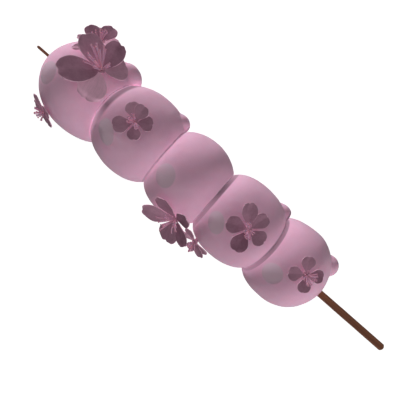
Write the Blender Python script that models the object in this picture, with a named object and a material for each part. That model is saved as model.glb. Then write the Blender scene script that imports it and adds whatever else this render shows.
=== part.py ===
"""Dango skewer: five soft pink rice-dough balls on a dark wooden stick, dressed with cherry blossoms.

Metres, +Z up. The skewer lies on its side: the stick runs along +X from its thin tip to its handle,
and each ball rests on a small flat at z = 0. The origin is the middle of the footprint.
"""

import math
from typing import NamedTuple

import bmesh
import bpy
from mathutils import Matrix, Vector

MM = 0.001
GAP = 0.3 * MM  # clearance between pieces that touch

# Stick: a slim rod that thins towards its tip
STICK_LENGTH = 150 * MM
STICK_TIP_RADIUS = 0.47 * MM
STICK_HANDLE_RADIUS = 1.25 * MM
STICK_TAPER_LENGTH = 70 * MM
STICK_CHAMFER = 0.5 * MM
STICK_ASIDE_AT_TIP = 0.1 * MM  # the stick runs a little askew through the balls' middles
STICK_ASIDE_AT_HANDLE = -0.6 * MM
STICK_TIP_BLUNTNESS = 0.5  # radius of the tip's end face, as a share of the tip's radius
STICK_SIDES = 10
STICK_STATIONS = 8
AXIS_HEIGHT_AT_TIP = 14.3 * MM
AXIS_SLOPE = math.radians(0.51)  # the handle end lies a little lower, because the last balls are smaller

# Mesh density of a ball
MERIDIANS = 28
ROWS_PER_HALF = 8
FREE_END_ANGLE = 0.2  # radians off the stick to the first row of a free end
NUB_SIDE = math.pi / 2  # angle round the stick of the side that carries the nubs
NUB_CROWDING = 0.4  # meridians stand closer together there

# Bounds and fineness of the searches
EXPONENT_BOUNDS = (1.2, 8.0)
SEAM_EDGE_BOUNDS = (0.05, 1.5)  # radians off the stick
BISECTIONS = 40
PARALLEL = 1e-6  # a direction this nearly along a flat never meets it
NEAR_BORE = 0.1  # radians off the stick, where a ball's end meets its bore

# Mesh density and thickness of a blossom
PETAL_ROWS = (0.26, 0.52, 0.78, 1.0)
PETAL_COLUMNS = (-1.0, -0.5, 0.0, 0.5, 1.0)
PETAL_THICKNESS = 0.35 * MM
PETAL_WIDEST_AT = 0.66  # fraction of the length
PETAL_FOOT = 0.12  # width at the foot, as a fraction of the full width
PETAL_SWELL = 1.7  # how late the petal widens
PETAL_TIP_NARROWING = 0.35  # share of its width that it loses between there and the tip
PETAL_SHOULDER = 0.2  # how far the corners of the tip fall back
PETAL_NOTCH = 0.1
PETAL_FOOT_SPREAD = 24  # degrees round the heart, from the middle of a foot to its side
HEART_RADIUS = 1.1 * MM
HEART_RISE = 0.35 * MM

DOUGH_COLOUR = (0.80, 0.45, 0.61)
DOUGH_ROUGHNESS = 0.35
STICK_COLOUR = (0.17, 0.072, 0.04)
STICK_ROUGHNESS = 0.5
PETAL_COLOUR = (0.38, 0.19, 0.27)
PETAL_ROUGHNESS = 0.6
SHARP_ANGLE = math.radians(40)  # edges sharper than this aren't shaded smooth


class Nub(NamedTuple):
    """A soft lump of dough that stands out of a ball."""

    roll: float  # degrees round the stick, from straight up towards +Y
    lean: float  # degrees along the stick, from square to it towards the handle
    radius: float
    reach: float  # how far it stands out beyond the ball


class Ball(NamedTuple):
    """One ball, with its centre on the stick's axis."""

    centre: float  # along the stick, from its tip
    radius: float
    nub: Nub | None


class Seam(NamedTuple):
    """The flat where two neighbouring balls press on each other."""

    place: float  # along the stick, from its tip
    radius: float  # of the groove round it
    tilt: float  # degrees that its upper edge leans towards the handle


class Petal(NamedTuple):
    """One petal; its direction is in degrees round the flower, from the stick's direction."""

    direction: float
    length: float
    width: float
    lift: float  # degrees above the flower's own plane, at the foot


class Blossom(NamedTuple):
    """One cherry blossom and its place on a ball."""

    ball: int
    roll: float
    lean: float
    nod_across: float  # degrees that the flower tips over, about the stick's direction
    nod_along: float  # degrees that the flower tips over towards the handle
    stalk: float  # from the ball's surface to the flower's heart
    bend: float  # degrees that each petal curves down from foot to tip
    petals: tuple


BALLS = (
    Ball(22.2 * MM, 14.8 * MM, Nub(83, 33, 5.2 * MM, 3.1 * MM)),
    Ball(44.0 * MM, 14.65 * MM, Nub(82, 36, 3.7 * MM, 2.3 * MM)),
    Ball(65.6 * MM, 14.5 * MM, None),
    Ball(86.8 * MM, 14.35 * MM, Nub(82, 40, 3.9 * MM, 2.8 * MM)),
    Ball(108.5 * MM, 14.0 * MM, Nub(84, 50, 3.6 * MM, 2.1 * MM)),
)
SEAMS = (
    Seam(34.0 * MM, 11.0 * MM, -9),
    Seam(54.9 * MM, 10.8 * MM, 5),
    Seam(75.7 * MM, 10.5 * MM, 0),
    Seam(97.35 * MM, 10.4 * MM, 9),
)
TIP_END_REACH = 15.1 * MM  # from the first ball's centre to its free end
HANDLE_END_REACH = 12.9 * MM  # from the last ball's centre to its free end
LIP_TOWARDS_TIP = 0.55 * MM  # softness of the rim where a ball meets the one nearer the tip
LIP_TOWARDS_HANDLE = 0.2 * MM
NUB_SOFTNESS = 0.25 * MM

BLOSSOMS = (
    Blossom(0, 25.5, 17.5, 0, 0, 1.0 * MM, 10, (
        Petal(64, 7.3 * MM, 7.9 * MM, 6),
        Petal(102, 9.3 * MM, 6.2 * MM, 19),
        Petal(164, 9.6 * MM, 7.4 * MM, 18),
        Petal(241, 12.3 * MM, 7.6 * MM, 15),
        Petal(291, 9.7 * MM, 8.2 * MM, 7),
    )),
    Blossom(0, 54, -10.0, 25, 6, 1.3 * MM, 10, (
        Petal(32, 5.0 * MM, 4.6 * MM, 16),
        Petal(93, 6.2 * MM, 5.2 * MM, 20),
        Petal(162, 5.4 * MM, 5.0 * MM, 20),
        Petal(214, 5.9 * MM, 2.6 * MM, 12),
        Petal(248, 8.2 * MM, 2.4 * MM, 10),
    )),
    Blossom(0, -76, -17.5, -13, 2, 0.65 * MM, 8, (
        Petal(60, 4.6 * MM, 4.4 * MM, 10),
        Petal(131, 5.6 * MM, 4.4 * MM, 10),
        Petal(199, 4.8 * MM, 4.2 * MM, 10),
        Petal(278, 3.2 * MM, 4.2 * MM, 10),
        Petal(345, 4.2 * MM, 4.2 * MM, 10),
    )),
    Blossom(1, 5.5, 2.5, 0, 0, 0.7 * MM, 10, (
        Petal(-53, 4.6 * MM, 4.1 * MM, 12),
        Petal(32, 4.5 * MM, 4.6 * MM, 12),
        Petal(96, 4.7 * MM, 4.4 * MM, 26),
        Petal(139, 5.1 * MM, 4.5 * MM, 8),
        Petal(233, 5.7 * MM, 5.1 * MM, 12),
    )),
    Blossom(2, -60, 21, -10, -30, 1.0 * MM, 8, (
        Petal(-79, 8.4 * MM, 7.4 * MM, 24),
        Petal(-17, 8.2 * MM, 5.8 * MM, 24),
        Petal(64, 9.7 * MM, 5.2 * MM, 24),
        Petal(137, 9.2 * MM, 6.0 * MM, 24),
        Petal(203, 10.9 * MM, 6.6 * MM, 24),
    )),
    Blossom(3, -82, -24, -20, 20, 1.0 * MM, 8, (
        Petal(-25, 5.4 * MM, 4.0 * MM, 18),
        Petal(16, 4.9 * MM, 3.4 * MM, 12),
        Petal(143, 5.8 * MM, 3.4 * MM, 6),
        Petal(187, 4.3 * MM, 3.2 * MM, 8),
        Petal(281, 4.0 * MM, 3.4 * MM, 25),
    )),
    Blossom(3, -1.5, 9.5, 0, 0, 0.7 * MM, 10, (
        Petal(-86, 6.6 * MM, 5.6 * MM, 12),
        Petal(2, 5.1 * MM, 5.0 * MM, 12),
        Petal(77, 5.9 * MM, 4.6 * MM, 12),
        Petal(130, 7.3 * MM, 4.8 * MM, 12),
        Petal(200, 6.5 * MM, 5.2 * MM, 12),
    )),
    Blossom(4, 2.5, 7.5, 0, 0, 0.7 * MM, 10, (
        Petal(-62, 4.5 * MM, 4.2 * MM, 12),
        Petal(33, 4.4 * MM, 4.2 * MM, 12),
        Petal(124, 4.8 * MM, 4.4 * MM, 12),
        Petal(212, 5.0 * MM, 4.5 * MM, 12),
    )),
)


def clear_scene():
    for old in list(bpy.data.objects):
        bpy.data.objects.remove(old, do_unlink=True)


def make_material(name, colour, roughness):
    material = bpy.data.materials.new(name)
    material.use_nodes = True
    shader = material.node_tree.nodes["Principled BSDF"]
    shader.inputs["Base Color"].default_value = (*colour, 1.0)
    shader.inputs["Roughness"].default_value = roughness
    shader.inputs["Metallic"].default_value = 0.0
    return material


def make_object(name, bed, material, parent):
    """An object from the bmesh `bed`, with its soft edges shaded smooth."""
    mesh = bpy.data.meshes.new(name)
    bed.to_mesh(mesh)
    bed.free()
    mesh.shade_smooth()
    mesh.set_sharp_from_angle(angle=SHARP_ANGLE)
    made = bpy.data.objects.new(name, mesh)
    made.data.materials.append(material)
    made.parent = parent
    bpy.context.scene.collection.objects.link(made)
    return made


# The skewer's own frame: x along the stick from its tip, z up, the axis on x.
SKEWER_TO_WORLD = Matrix.Translation((0, 0, AXIS_HEIGHT_AT_TIP)) @ Matrix.Rotation(AXIS_SLOPE, 4, "Y")


def direction_of(roll, lean):
    """Unit direction from a ball's centre, for angles in degrees as Nub states them."""
    around = math.radians(roll)
    along = math.radians(lean)
    return Vector((math.sin(along), math.cos(along) * math.sin(around), math.cos(along) * math.cos(around)))


def stick_radius(place):
    """The stick's radius at `place`, a smooth taper from the tip to the full handle."""
    share = min(max(place / STICK_TAPER_LENGTH, 0.0), 1.0)
    eased = share * share * (3 - 2 * share)
    return STICK_TIP_RADIUS + (STICK_HANDLE_RADIUS - STICK_TIP_RADIUS) * eased


def ring_point(place, radius, around):
    """A point on a ring round the stick's own axis."""
    aside = STICK_ASIDE_AT_TIP + (STICK_ASIDE_AT_HANDLE - STICK_ASIDE_AT_TIP) * place / STICK_LENGTH
    return Vector((place, aside + radius * math.sin(around), radius * math.cos(around)))


def soft_min(one, other, softness):
    """The smaller of two distances, with the corner between them rounded."""
    low = min(one, other)
    return low - softness * math.log1p(math.exp(-abs(one - other) / softness))


def soft_max(one, other, softness):
    return -soft_min(-one, -other, softness)


def bisect(function, low, high):
    """The place between `low` and `high` where `function` falls through nought."""
    for _ in range(BISECTIONS):
        middle = (low + high) / 2
        if function(middle) > 0:
            low = middle
        else:
            high = middle
    return low


def fullness(along, across):
    """The superellipse exponent whose unit profile passes through (along, across)."""
    return bisect(lambda power: along**power + across**power - 1, *EXPONENT_BOUNDS)


class Dough:
    """The outer surface of one ball, as a distance from its centre along any direction."""

    def __init__(self, index):
        self.ball = BALLS[index]
        self.seams = {
            -1: SEAMS[index - 1] if index > 0 else None,
            1: SEAMS[index] if index < len(SEAMS) else None,
        }
        self.reach = {-1: TIP_END_REACH, 1: HANDLE_END_REACH}
        for side, seam in self.seams.items():
            if seam:
                self.reach[side] = self.ball.radius

    def exponent(self, direction, side):
        """How square the profile is in this direction, so that it passes through the tilted groove."""
        seam = self.seams[side]
        if seam is None:
            return 2.0
        height = direction.z / max(math.hypot(direction.y, direction.z), PARALLEL)
        leaning = side * seam.radius * height * math.tan(math.radians(seam.tilt))
        groove_at = abs(seam.place - self.ball.centre) + leaning
        return fullness(groove_at / self.ball.radius, seam.radius / self.ball.radius)

    def body(self, direction):
        """The round body, before its neighbours press on it."""
        side = 1 if direction.x > 0 else -1
        power = self.exponent(direction, side)
        along = abs(direction.x) / self.reach[side]
        across = math.hypot(direction.y, direction.z) / self.ball.radius
        round_body = (along**power + across**power) ** (-1 / power)
        if self.ball.nub is None:
            return round_body
        return soft_max(round_body, self.nub_distance(direction), NUB_SOFTNESS)

    def nub_distance(self, direction):
        nub = self.ball.nub
        middle = direction_of(nub.roll, nub.lean) * (self.ball.radius + nub.reach - nub.radius)
        forward = middle.dot(direction)
        inside = forward**2 - middle.length_squared + nub.radius**2
        return forward + math.sqrt(inside) if inside > 0 and forward > 0 else 0.0

    def seam_distance(self, direction, side):
        """The distance to the flat on this side; it is infinite where the direction never meets it."""
        seam = self.seams[side]
        tilt = math.radians(seam.tilt)
        facing = (direction.x * math.cos(tilt) - direction.z * math.sin(tilt)) * side
        if facing < PARALLEL:
            return math.inf
        flat_at = abs(seam.place - self.ball.centre) * math.cos(tilt)
        return (flat_at - GAP / 2) / facing

    def surface(self, direction):
        distance = self.body(direction)
        for side, lip in ((-1, LIP_TOWARDS_TIP), (1, LIP_TOWARDS_HANDLE)):
            if self.seams[side]:
                flat = self.seam_distance(direction, side)
                if flat < math.inf:
                    distance = soft_min(distance, flat, lip)
        return distance

    def point(self, direction):
        """The surface point in the skewer's frame."""
        return Vector((self.ball.centre, 0, 0)) + direction * self.surface(direction)

    def half_meridian(self, around, side):
        """The surface points at the angle `around`, from the bore's rim on this side almost to the belly."""

        def at(angle):
            off = math.sin(angle)
            return Vector((side * math.cos(angle), off * math.sin(around), off * math.cos(around)))

        def past_flat(angle):
            return self.body(at(angle)) - self.seam_distance(at(angle), side)

        if self.seams[side]:
            edge = bisect(past_flat, *SEAM_EDGE_BOUNDS)
            angles = [edge / 2, edge]
        else:
            edge = FREE_END_ANGLE
            angles = [edge]
        steps = ROWS_PER_HALF - len(angles)
        angles += [edge + (math.pi / 2 - edge) * step / steps for step in range(1, steps)]
        place = self.point(at(NEAR_BORE)).x
        bore = stick_radius(place) + GAP
        rim_angle = math.atan2(bore, abs(place - self.ball.centre))
        rim = ring_point(self.point(at(rim_angle)).x, bore, around)
        return [rim] + [self.point(at(angle)) for angle in angles]

    def meridian(self, around):
        belly = self.point(Vector((0, math.sin(around), math.cos(around))))
        return self.half_meridian(around, -1) + [belly] + self.half_meridian(around, 1)[::-1]


def build_ball(index, material, parent):
    """A ball as closed rings round the stick, its bore joining the last ring to the first."""
    dough = Dough(index)
    bed = bmesh.new()
    columns = []
    for step in range(MERIDIANS):
        even = 2 * math.pi * step / MERIDIANS
        around = even - NUB_CROWDING * math.sin(even - NUB_SIDE)
        column = []
        for point in dough.meridian(around):
            world = SKEWER_TO_WORLD @ point
            world.z = max(world.z, 0.0)
            column.append(bed.verts.new(world))
        columns.append(column)
    for step, column in enumerate(columns):
        following = columns[(step + 1) % MERIDIANS]
        for row in range(len(column)):
            after = (row + 1) % len(column)
            bed.faces.new((column[row], column[after], following[after], following[row]))
    bmesh.ops.recalc_face_normals(bed, faces=bed.faces[:])
    return make_object(f"dango_{index + 1}", bed, material, parent)


def build_stick(material, parent):
    """The stick as a lathe profile round its axis, with a chamfer at both ends."""
    bed = bmesh.new()
    straight = STICK_LENGTH - 2 * STICK_CHAMFER
    profile = [(0.0, STICK_TIP_RADIUS * STICK_TIP_BLUNTNESS)]
    for station in range(STICK_STATIONS + 1):
        place = STICK_CHAMFER + straight * station / STICK_STATIONS
        profile.append((place, stick_radius(place)))
    profile.append((STICK_LENGTH, STICK_HANDLE_RADIUS - STICK_CHAMFER))
    rings = []
    for place, radius in profile:
        ring = []
        for side in range(STICK_SIDES):
            angle = 2 * math.pi * side / STICK_SIDES
            ring.append(bed.verts.new(SKEWER_TO_WORLD @ ring_point(place, radius, angle)))
        rings.append(ring)
    for ring, following in zip(rings, rings[1:]):
        for side in range(STICK_SIDES):
            after = (side + 1) % STICK_SIDES
            bed.faces.new((ring[side], ring[after], following[after], following[side]))
    bed.faces.new(rings[0])
    bed.faces.new(rings[-1])
    bmesh.ops.recalc_face_normals(bed, faces=bed.faces[:])
    return make_object("skewer_stick", bed, material, parent)


def petal_share(along):
    """A petal's width at `along`, as a share of its full width."""
    if along < PETAL_WIDEST_AT:
        swell = math.sin(math.pi / 2 * along / PETAL_WIDEST_AT) ** PETAL_SWELL
        return PETAL_FOOT + (1 - PETAL_FOOT) * swell
    beyond = (along - PETAL_WIDEST_AT) / (1 - PETAL_WIDEST_AT)
    return 1 - PETAL_TIP_NARROWING * beyond**2


def petal_point(petal, bend, along, across):
    """A point of a petal in the flower's frame; `along` runs 0 to 1, `across` -1 to 1."""
    side = across * petal_share(along) * petal.width / 2
    shoulder = PETAL_SHOULDER * across**2 * along**2
    notch = PETAL_NOTCH * max(0.0, 1 - 2 * abs(across)) * along**3
    run = petal.length * (along - shoulder - notch)
    lift = math.radians(petal.lift)
    turn = -math.radians(bend) / petal.length
    out = HEART_RADIUS + (math.sin(lift + turn * run) - math.sin(lift)) / turn
    rise = (math.cos(lift) - math.cos(lift + turn * run)) / turn
    facing = Matrix.Rotation(math.radians(petal.direction), 3, "Z")
    return facing @ Vector((out, side, rise))


def blossom_frame(blossom):
    """The matrix from the flower's frame to the skewer's, the flower's back just clear of its ball."""
    outward = direction_of(blossom.roll, blossom.lean)
    along = Vector((1, 0, 0))
    along = (along - outward * along.dot(outward)).normalized()
    across = outward.cross(along)
    frame = Matrix((along, across, outward)).transposed().to_4x4()
    dough = Dough(blossom.ball)
    foot = dough.point(outward) + outward * blossom.stalk
    nod_across = Matrix.Rotation(math.radians(blossom.nod_across), 4, "X")
    nod_along = Matrix.Rotation(math.radians(blossom.nod_along), 4, "Y")
    return Matrix.Translation(foot) @ frame @ nod_across @ nod_along


def heart_rim(degrees):
    """A point on the rim of the flower's heart, in the flower's frame."""
    angle = math.radians(degrees)
    return Vector((HEART_RADIUS * math.cos(angle), HEART_RADIUS * math.sin(angle), 0))


def build_blossom(number, blossom, material, parent):
    """A flower as one sheet, a small raised heart and its petals, thickened towards its back."""
    bed = bmesh.new()
    frame = SKEWER_TO_WORLD @ blossom_frame(blossom)
    petals = sorted(blossom.petals, key=lambda petal: petal.direction)
    corners = []
    for petal, following in zip(petals, petals[1:] + petals[:1]):
        between = ((following.direction - petal.direction) % 360) / 2
        corners.append(bed.verts.new(frame @ heart_rim(petal.direction + between)))
    heart = bed.verts.new(frame @ Vector((0, 0, HEART_RISE)))
    for index, petal in enumerate(petals):
        foot_row = [corners[index - 1]]
        for across in PETAL_COLUMNS[1:-1]:
            rim = heart_rim(petal.direction + across * PETAL_FOOT_SPREAD)
            foot_row.append(bed.verts.new(frame @ rim))
        foot_row.append(corners[index])
        rows = [foot_row]
        for along in PETAL_ROWS:
            points = [petal_point(petal, blossom.bend, along, across) for across in PETAL_COLUMNS]
            rows.append([bed.verts.new(frame @ point) for point in points])
        for row, following in zip(rows, rows[1:]):
            for column in range(len(PETAL_COLUMNS) - 1):
                bed.faces.new((row[column], following[column], following[column + 1], row[column + 1]))
        for one, other in zip(foot_row, foot_row[1:]):
            bed.faces.new((heart, one, other))
    made = make_object(f"blossom_{number}", bed, material, parent)
    thicken = made.modifiers.new("thickness", "SOLIDIFY")
    thicken.thickness = PETAL_THICKNESS
    thicken.offset = -1.0
    return made


def centre_footprint(root):
    """Moves the whole skewer so that the origin is the middle of its footprint."""
    bpy.context.view_layer.update()
    corners = [piece.matrix_world @ Vector(corner) for piece in root.children for corner in piece.bound_box]
    root.location.x = -(min(c.x for c in corners) + max(c.x for c in corners)) / 2
    root.location.y = -(min(c.y for c in corners) + max(c.y for c in corners)) / 2


def main():
    clear_scene()
    dough = make_material("mochi", DOUGH_COLOUR, DOUGH_ROUGHNESS)
    wood = make_material("dark_wood", STICK_COLOUR, STICK_ROUGHNESS)
    flower = make_material("petal", PETAL_COLOUR, PETAL_ROUGHNESS)
    root = bpy.data.objects.new("dango_skewer", None)
    bpy.context.scene.collection.objects.link(root)
    build_stick(wood, root)
    for index in range(len(BALLS)):
        build_ball(index, dough, root)
    for number, blossom in enumerate(BLOSSOMS, start=1):
        build_blossom(number, blossom, flower, root)
    centre_footprint(root)


main()
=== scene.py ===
"""Dango skewer: five soft pink rice-dough balls on a dark wooden stick, dressed with cherry blossoms.

Metres, +Z up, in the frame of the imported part. The stick runs along +X from its thin tip to its handle,
and the balls rest on small flats at z = 0. Angles named `roll` go round the stick from straight up towards
+Y, and angles named `lean` go along it from square towards the handle; both are in degrees.
"""

import logging
import math
from collections.abc import Callable
from dataclasses import dataclass, field
from enum import Enum

import bmesh
import bpy
import numpy as np
from mathutils import Matrix, Vector, noise


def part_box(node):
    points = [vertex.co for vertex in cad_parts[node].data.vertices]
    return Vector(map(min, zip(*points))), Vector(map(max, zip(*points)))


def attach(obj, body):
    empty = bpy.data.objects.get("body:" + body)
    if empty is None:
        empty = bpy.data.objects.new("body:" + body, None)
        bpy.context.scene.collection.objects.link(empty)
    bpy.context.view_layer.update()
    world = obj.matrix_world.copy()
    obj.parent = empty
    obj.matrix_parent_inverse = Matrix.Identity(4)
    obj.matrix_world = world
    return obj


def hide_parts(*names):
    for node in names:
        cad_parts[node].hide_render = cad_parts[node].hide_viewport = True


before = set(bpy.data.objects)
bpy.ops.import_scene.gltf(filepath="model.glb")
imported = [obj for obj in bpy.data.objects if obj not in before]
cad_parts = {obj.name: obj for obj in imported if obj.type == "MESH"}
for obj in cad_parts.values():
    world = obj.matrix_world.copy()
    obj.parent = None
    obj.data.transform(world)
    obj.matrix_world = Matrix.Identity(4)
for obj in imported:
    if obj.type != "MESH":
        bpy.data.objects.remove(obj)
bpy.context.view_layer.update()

MM = 0.001
BODY = "root"
UNEVENNESS = "natural_unevenness"
LOG = logging.getLogger("dango_skewer")

Socket = bpy.types.NodeSocket
Material = bpy.types.Material
Mesh = bpy.types.Mesh
Piece = bpy.types.Object
Faces = list[tuple[int, ...]]
Array = np.ndarray


class Slot(Enum):
    """The names of the material slots: mochi, dark wood and petal."""

    DOUGH = "mochi"
    WOOD = "dark_wood"
    PETAL = "petal"


class Side(Enum):
    """The two ends of a ball along the stick."""

    TIP = -1
    HANDLE = 1


# Small helpers


def soft_min(one: Array, other: Array, softness: float) -> Array:
    """The smaller of two distances, with the corner between them rounded over about `softness`."""
    return np.minimum(one, other) - softness * np.log1p(np.exp(-np.abs(one - other) / softness))


def smooth_step(value: Array, low: float, high: float) -> Array:
    """A smooth rise from 0 where the value is `low` to 1 where it is `high`."""
    share = np.clip((value - low) / (high - low), 0.0, 1.0)
    return share * share * (3 - 2 * share)


def unit(vector: Array) -> Array:
    """The vector at length 1."""
    return vector / np.linalg.norm(vector)


def around(along: Array, radius: Array, turns: Array, aside: float | Array = 0.0) -> Array:
    """Points round the stick, from places along it, distances off it and turns from straight up."""
    along, radius, turns, aside = np.broadcast_arrays(along, radius, turns, aside)
    return np.stack([along, aside + radius * np.sin(turns), radius * np.cos(turns)], axis=-1)


def direction_of(roll: float, lean: float) -> Vector:
    """The unit direction from a ball's middle at these degrees round the stick and along it."""
    around, along = math.radians(roll), math.radians(lean)
    return Vector((math.sin(along), math.cos(along) * math.sin(around), math.cos(along) * math.cos(around)))


def bumps(points: Array, wavelength: float, seed: float) -> Array:
    """Soft random relief, about -1 to 1 at each point; its seed keeps it apart from another piece's."""
    shift = Vector((seed * 7.3, seed * 3.1, seed * 5.7))
    return np.array([noise.noise(Vector(p) / wavelength + shift) for p in points])


def halve(count: int, low: float, high: float, rounds: int, rule: Callable[[Array], Array]) -> Array:
    """Closes in on the values where a rule turns from true to false.

    Args:
        count: How many values are looked for at once.
        low: A value for which the rule is true.
        high: A value for which it is false.
        rounds: How often the range between them is halved.
        rule: Says for each value whether it is true.

    Returns:
        The highest values found for which the rule is true.
    """
    lows, highs = np.full(count, low), np.full(count, high)
    for _ in range(rounds):
        middle = (lows + highs) / 2
        true = rule(middle)
        lows, highs = np.where(true, middle, lows), np.where(true, highs, middle)
    return lows


def grid_faces(rows: int, columns: int, rows_close: bool = False, columns_close: bool = False) -> Faces:
    """The faces between neighbouring points of a grid that is numbered row by row.

    Args:
        rows: How many rows of points there are.
        columns: How many points a row has.
        rows_close: Whether the last row meets the first.
        columns_close: Whether each row's last point meets its first.

    Returns:
        Four point numbers for each face.
    """
    numbers = np.arange(rows * columns).reshape(rows, columns)
    numbers = np.pad(numbers, ((0, int(rows_close)), (0, int(columns_close))), mode="wrap")
    corners = numbers[:-1, :-1], numbers[:-1, 1:], numbers[1:, 1:], numbers[1:, :-1]
    return [tuple(face) for face in np.stack(corners, axis=-1).reshape(-1, 4).tolist()]


def mesh_of(name: str, points: Array, faces: Faces, weld: float = 0.0) -> Mesh:
    """A smooth-shaded mesh with its faces turned outwards.

    Args:
        name: The mesh's name.
        points: Vertex places, one a row, in the part's frame.
        faces: Vertex numbers of each face.
        weld: Vertices nearer to each other than this become one.

    Returns:
        The mesh.
    """
    mesh = bpy.data.meshes.new(name)
    mesh.from_pydata(points.tolist(), [], faces)
    bed = bmesh.new()
    bed.from_mesh(mesh)
    if weld:
        bmesh.ops.remove_doubles(bed, verts=bed.verts[:], dist=weld)
    bmesh.ops.recalc_face_normals(bed, faces=bed.faces[:])
    bed.to_mesh(mesh)
    bed.free()
    mesh.shade_smooth()
    return mesh


def mark(mesh: Mesh, name: str, values: Array) -> None:
    """Keeps a number or a vector for each vertex of a mesh, for its finish to read."""
    kind, key = ("FLOAT_VECTOR", "vector") if values.ndim > 1 else ("FLOAT", "value")
    mesh.attributes.new(name, kind, "POINT").data.foreach_set(key, values.ravel())


def put(name: str, data: bpy.types.ID) -> Piece:
    """Puts an object in the scene.

    Args:
        name: Its name.
        data: Its mesh, lamp or camera.

    Returns:
        The object.
    """
    thing = bpy.data.objects.new(name, data)
    bpy.context.scene.collection.objects.link(thing)
    return thing


def place_piece(name: str, mesh: Mesh, material: Material, node: str = "") -> Piece:
    """Puts a finished mesh in the scene as a piece that rides on the part's body.

    Args:
        name: The piece's name.
        mesh: Its mesh, already in place.
        material: Its finish.
        node: The part's node that it stands for, if any.

    Returns:
        The piece.
    """
    mesh.materials.clear()
    mesh.materials.append(material)
    piece = put(name, mesh)
    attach(piece, BODY)
    if node:
        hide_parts(node)
    LOG.info("%s: %d faces", name, len(mesh.polygons))
    return piece


# Finishes


class NodeBench:
    """A short way of adding nodes to a tree and joining them."""

    def __init__(self, tree: bpy.types.NodeTree) -> None:
        """Works on `tree`."""
        self.tree = tree

    def feed(self, entry: Socket, value: object) -> None:
        """Feeds an input.

        Args:
            entry: The input.
            value: The socket that it is joined to, or the plain value that it is set to.
        """
        if isinstance(value, Socket):
            self.tree.links.new(value, entry)
        else:
            entry.default_value = value

    def add(self, kind: str, inputs: dict | None = None, **settings: object) -> bpy.types.Node:
        """Adds a node.

        Args:
            kind: Blender's name for the node type.
            inputs: Input name or number to a plain value or to the socket that feeds it.
            **settings: The node's own properties.

        Returns:
            The node.
        """
        node = self.tree.nodes.new(kind)
        for name, value in settings.items():
            setattr(node, name, value)
        for key, value in (inputs or {}).items():
            self.feed(node.inputs[key], value)
        return node

    def attribute(self, name: str, output: str = "Fac") -> Socket:
        """What a mesh keeps under that name."""
        return self.add("ShaderNodeAttribute", attribute_name=name).outputs[output]

    def math(self, operation: str, *values: object) -> Socket:
        """The result of a Math node, such as ADD or MULTIPLY, on numbers or sockets."""
        return self.add("ShaderNodeMath", dict(enumerate(values)), operation=operation).outputs[0]

    def times(self, *values: object) -> Socket:
        """The product of two numbers or sockets."""
        return self.math("MULTIPLY", *values)

    def vector(self, **values: object) -> Socket:
        """A vector from its parts X, Y and Z; those left out are 0."""
        return self.add("ShaderNodeCombineXYZ", values).outputs[0]

    def mix_colour(self, share: object, *colours: object) -> Socket:
        """A mix of two colours: the first where the share is 0, and the second where it is 1."""
        first, second = ((*colour, 1.0) if isinstance(colour, tuple) else colour for colour in colours)
        return self.add("ShaderNodeMix", {0: share, 6: first, 7: second}, data_type="RGBA").outputs[2]

    def rerange(self, value: Socket, low: float, high: float, first: float = 0.0, end: float = 1.0) -> Socket:
        """A value moved from the range low to high to the range first to end, and kept inside it."""
        keys = ("Value", "From Min", "From Max", "To Min", "To Max")
        return self.add("ShaderNodeMapRange", dict(zip(keys, (value, low, high, first, end)))).outputs[0]


def uneven_group() -> bpy.types.NodeTree:
    """The shared effect of natural unevenness, which every finish of the skewer uses.

    Returns:
        A shader group with inputs Vector, Broad and Fine, and outputs Tone and Height, both 0 to 1.
    """
    tree = bpy.data.node_groups.new(UNEVENNESS, "ShaderNodeTree")
    for name, way, kind in (
        ("Vector", "INPUT", "Vector"), ("Broad", "INPUT", "Float"), ("Fine", "INPUT", "Float"),
        ("Tone", "OUTPUT", "Float"), ("Height", "OUTPUT", "Float"),
    ):
        tree.interface.new_socket(name, in_out=way, socket_type=f"NodeSocket{kind}")
    bench = NodeBench(tree)
    entry = bench.add("NodeGroupInput").outputs
    layers = []
    for scale, detail, roughness in (("Broad", 3.0, 0.55), ("Fine", 2.0, 0.5)):
        inputs = {"Vector": entry["Vector"], "Scale": entry[scale], "Detail": detail, "Roughness": roughness}
        layers.append(bench.add("ShaderNodeTexNoise", inputs).outputs[0])
    broad, fine = layers
    # The tone shows more of the clouds, and the height more of the grain.
    tone, height = (
        bench.math("ADD", bench.times(broad, share), bench.times(fine, 1 - share)) for share in (0.7, 0.35)
    )
    bench.add("NodeGroupOutput", {"Tone": bench.rerange(tone, 0.32, 0.68), "Height": height})
    return tree


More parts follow.
